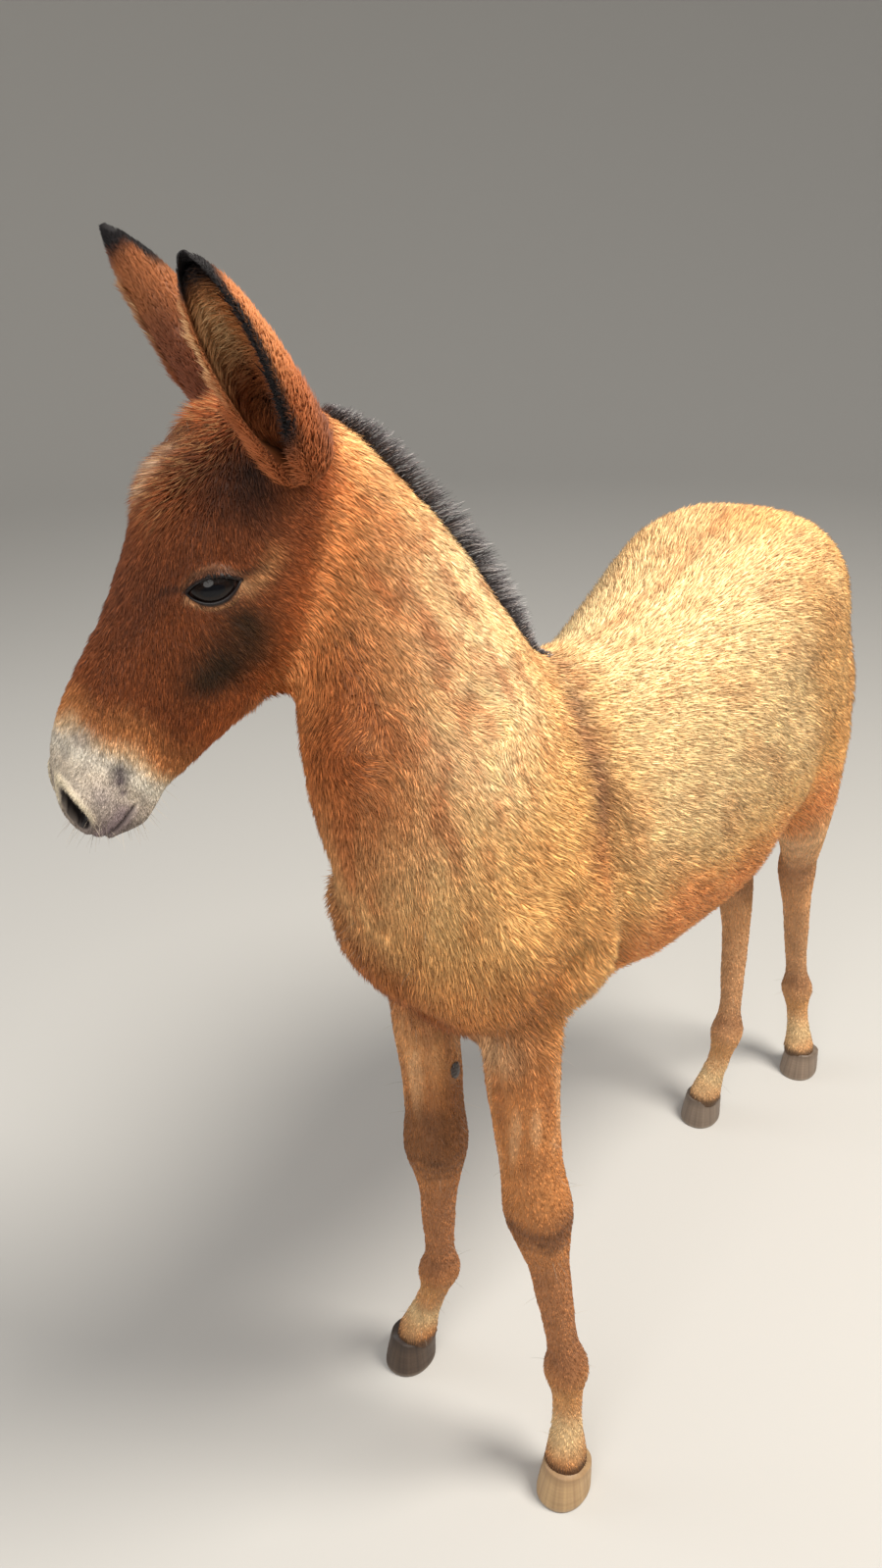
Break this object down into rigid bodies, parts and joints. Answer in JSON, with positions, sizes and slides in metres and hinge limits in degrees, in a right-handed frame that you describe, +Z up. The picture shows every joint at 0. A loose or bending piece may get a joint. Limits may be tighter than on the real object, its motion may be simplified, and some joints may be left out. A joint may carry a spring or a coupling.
{
  "type": "mule foal",
  "caption": "Still, life-size model of a standing mule foal with its head turned to its right, parted into body, neck, head, ears, eyes, legs, hooves and tail.",
  "frame": {"origin": "on the floor, at the middle of the foot of the whole model's box, under the foal's chest and belly", "axes": "+Z up, the foal's body faces -Y, its left side is +X; the head is turned towards -X"},
  "size_m": [0.4976, 1.2276, 1.3825],
  "materials": {
    "body_coat": "short woolly foal coat, sun-bleached gold",
    "head_coat": "short dense coat, chestnut brown with a pale muzzle",
    "ear_coat": "short coat, dark rims and pale inner hair",
    "leg_coat": "short sleek coat, tan",
    "long_hair": "coarse dark hair, slightly glossy",
    "eye": "wet gloss",
    "hoof_horn": "satin horn"
  },
  "bodies": {
    "root": {"torso": "body_coat", "neck": "body_coat", "head": "head_coat", "ear_left": "ear_coat", "ear_right": "ear_coat", "eye_left": "eye", "eye_right": "eye", "tail": "long_hair", "forearm_front_left": "leg_coat", "shank_front_left": "leg_coat", "hoof_front_left": "hoof_horn", "forearm_front_right": "leg_coat", "shank_front_right": "leg_coat", "hoof_front_right": "hoof_horn", "gaskin_hind_left": "leg_coat", "shank_hind_left": "leg_coat", "hoof_hind_left": "hoof_horn", "gaskin_hind_right": "leg_coat", "shank_hind_right": "leg_coat", "hoof_hind_right": "hoof_horn"}
  },
  "joints": []
}
